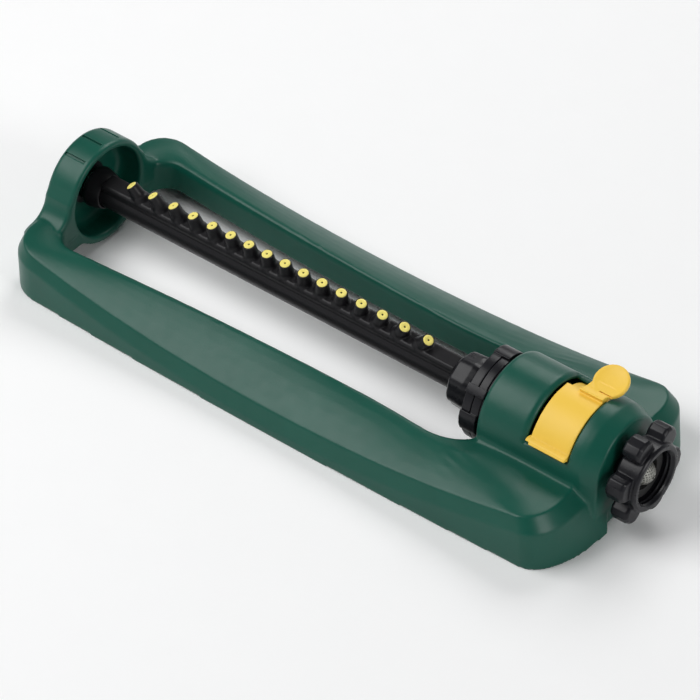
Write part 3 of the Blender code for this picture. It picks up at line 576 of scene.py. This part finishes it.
# ---------------------------------------------------------------------------
# Flow slider
# ---------------------------------------------------------------------------
def build_slider():
    slider = solid("flow_slider_fine", lathe(((120.8, 21.2), (120.8, 23.6), (141.4, 23.6), (141.4, 21.2))))
    lip = [polar(r, a) for r, a in
           ((24.6, 152.5), (26.6, 153.6), (28.3, 155.4), (28.5, 157.6), (24.6, 157.6))]
    ledge = [polar(r, a) for r, a in ((24.6, 157.2), (29.3, 157.4), (29.4, 159.3), (24.6, 159.8))]
    tilt = math.radians(23.0)
    pad_c, pad_r = Vector((138.9, 12.6, AXIS_Z + 30.4)), 8.8
    along = Vector((0.0, math.cos(tilt), math.sin(tilt)))
    normal = Vector((0.0, -math.sin(tilt), math.cos(tilt)))
    pad_profile = ((-1.3, pad_r - 0.5), (-0.9, pad_r), (0.8, pad_r), (1.2, pad_r - 0.7), (1.1, pad_r - 1.4),
                   (0.7, pad_r - 3.2), (0.45, pad_r - 5.5), (0.4, 0.4))
    turns = [2 * math.pi * k / 72 for k in range(72)]
    pad = []
    for h, r in pad_profile:
        pad.append([tuple(pad_c + normal * h + Vector((math.cos(a), 0, 0)) * r + along * r * math.sin(a))
                    for a in turns])
    root = pad_c - along * pad_r

    def slab(*stations):
        """Loft along the pad's slope; each station is (distance, lower edge, upper edge, low x, high x)."""
        rings = []
        for s, under, over, x0, x1 in stations:
            c = root + along * s
            rings.append([tuple(Vector((x, c.y, c.z)) + normal * n) for x, n in
                          ((x0, under), (x1, under), (x1, over), (x0, over))])
        return loft(rings)

    web = slab((-2.2, -2.6, 2.45, 128.5, 141.7), (1.6, -1.2, 1.05, 130.0, 142.4),
               (6.0, -1.1, 0.95, 131.5, 146.9))
    add(slider, sector(23.0, 26.0, 80.0, 156.0, 120.4, 141.8), prism(lip, 119.2, 141.9),
        prism(ledge, 121.6, 141.9), loft(pad), web)
    moulded(slider, 0.35, 5, 0.4)
    slit = slab((1.4, 0.1, 3.0, 137.3, 150.0), (1.95, 0.1, 3.0, 137.3, 150.0))
    cut(slider, slit)
    dress(slider, "slider", "slider_plastic", YELLOW, "flow_slider")


# ---------------------------------------------------------------------------
# Hose inlet
# ---------------------------------------------------------------------------
def build_inlet():
    x0, x1 = nut_low.x, nut_high.x
    profile = [(x0, 9.0), (x0, 16.4), (x0 + 0.8, 17.2), (x1 - 1.1, 17.5), (x1, 16.6), (x1, 14.5),
               (x1 - 1.2, 13.9), (x1 - 1.8, 13.2), (x1 - 2.4, 13.9), (x1 - 3.4, 13.9), (x1 - 4.0, 13.2),
               (x1 - 4.6, 13.9), (x0 + 2.2, 13.9), (x0 + 2.2, 9.0)]
    nut = solid("hose_nut_fine", lathe(profile, 120))
    half_lobe = [(15.5, 20.0), (21.0, 17.0), (23.6, 12.5), (24.7, 5.0)]
    outline = [(r, -a) for r, a in half_lobe] + half_lobe[::-1]
    for k in range(NUT_LOBES):
        a = 48.0 + 360.0 / NUT_LOBES * k
        full = [polar(r, a + s) for r, s in outline]
        small = [polar(r - (1.1 if r > 16 else 0.0), a + 0.93 * s) for r, s in outline]
        add(nut, loft([[(x, y, z) for y, z in pts] for x, pts in
                       ((x0 + 0.6, small), (x0 + 1.8, full), (x0 + 9.0, full), (x0 + 10.4, small))]))
    dress(moulded(nut, 0.35, 3, 0.35), "nut", "black_plastic", BLACK, "hose_nut")
    dome = [(166.7, 5.8), (166.7, 6.6), (168.0, 6.4), (169.1, 6.0), (170.0, 5.4), (171.0, 4.7),
            (171.8, 3.8), (172.5, 2.8), (173.0, 1.8), (173.4, 0.9), (172.7, 0.9), (172.2, 1.7),
            (171.1, 3.3), (169.5, 4.8), (167.8, 5.7)]
    screen = solid("filter_screen_fine", lathe(dome, 64))
    screen.data.shade_smooth()
    dress(screen, "base", "filter_mesh", MESH, "filter_screen")


for builder in (build_base, build_tube, build_hood_end, build_drive, build_slider, build_inlet):
    builder()

# The pieces inside the motor and under the base keep their CAD shapes.
FINISHES = {"black_plastic": BLACK, "white_plastic": WHITE, "steel": STEEL, "seal_rubber": RUBBER,
            "frame_plastic": GREEN, "tube_plastic": TUBE_BLACK, "tip_plastic": PALE, "slider_plastic": YELLOW,
            "filter_mesh": MESH}
for part in frame["record"]["subparts"]:
    cad_mesh = frame["nodes"][part["node"]].data
    cad_mesh.materials.clear()
    cad_mesh.materials.append(FINISHES[part["material_slot"]])

# ---------------------------------------------------------------------------
# Floor, light and camera
# ---------------------------------------------------------------------------
FLOOR_HALF = 6.0
corners = [(x * FLOOR_HALF, y * FLOOR_HALF, 0.0) for x, y in ((-1, -1), (1, -1), (1, 1), (-1, 1))]
floor_mesh = bpy.data.meshes.new("floor")
floor_mesh.from_pydata(corners, [], [(0, 1, 2, 3)])
floor = bpy.data.objects.new("floor", floor_mesh)
bpy.context.scene.collection.objects.link(floor)
floor_finish = plastic("pale_floor", (0.97, 0.97, 0.97), 0.75, grain=60.0, relief=0.0002, cloud=0.01)
floor.data.materials.append(floor_finish)

world = bpy.data.worlds.new("studio")
bpy.context.scene.world = world
world.use_nodes = True
sky = world.node_tree
background = sky.nodes["Background"]
background.inputs["Color"].default_value = (0.96, 0.98, 1.0, 1.0)
heading, parts_of, fade = (sky.nodes.new(kind) for kind in
                           ("ShaderNodeTexCoord", "ShaderNodeSeparateXYZ", "ShaderNodeMapRange"))
fade.inputs["From Max"].default_value = 0.45        # bright near the horizon, dim overhead
fade.inputs["To Min"].default_value = 0.75
fade.inputs["To Max"].default_value = 0.10
sky.links.new(heading.outputs["Generated"], parts_of.inputs["Vector"])
sky.links.new(parts_of.outputs["Z"], fade.inputs["Value"])
sky.links.new(fade.outputs["Result"], background.inputs["Strength"])


def softbox(name, place, size, power):
    """Square area light aimed at the middle of the object."""
    data = bpy.data.lights.new(name, "AREA")
    data.size, data.energy = size, power
    lamp = bpy.data.objects.new(name, data)
    lamp.location = place
    lamp.rotation_euler = (Vector((0.0, 0.0, 0.03)) - Vector(place)).to_track_quat("-Z", "Y").to_euler()
    bpy.context.scene.collection.objects.link(lamp)


softbox("softbox_main", (-0.75, -0.65, 1.2), 1.1, 17.0)
softbox("softbox_back", (-0.3, 1.1, 1.1), 0.8, 9.0)
softbox("softbox_right", (1.4, -0.2, 0.8), 0.6, 7.0)

CAMERA_AIM = Vector((0.0110, -0.01865, 0.03088))
AZIMUTH, ELEVATION, DISTANCE = math.radians(38.64), math.radians(41.42), 1.7885
back = Vector((math.sin(AZIMUTH) * math.cos(ELEVATION), -math.cos(AZIMUTH) * math.cos(ELEVATION),
               math.sin(ELEVATION)))
camera_data = bpy.data.cameras.new("camera")
camera_data.sensor_width, camera_data.lens = 36.0, 194.6
camera = bpy.data.objects.new("camera", camera_data)
camera.location = CAMERA_AIM + back * DISTANCE
camera.rotation_euler = back.to_track_quat("Z", "Y").to_euler()
bpy.context.scene.collection.objects.link(camera)
bpy.context.scene.camera = camera
bpy.context.scene.view_settings.view_transform = "Standard"
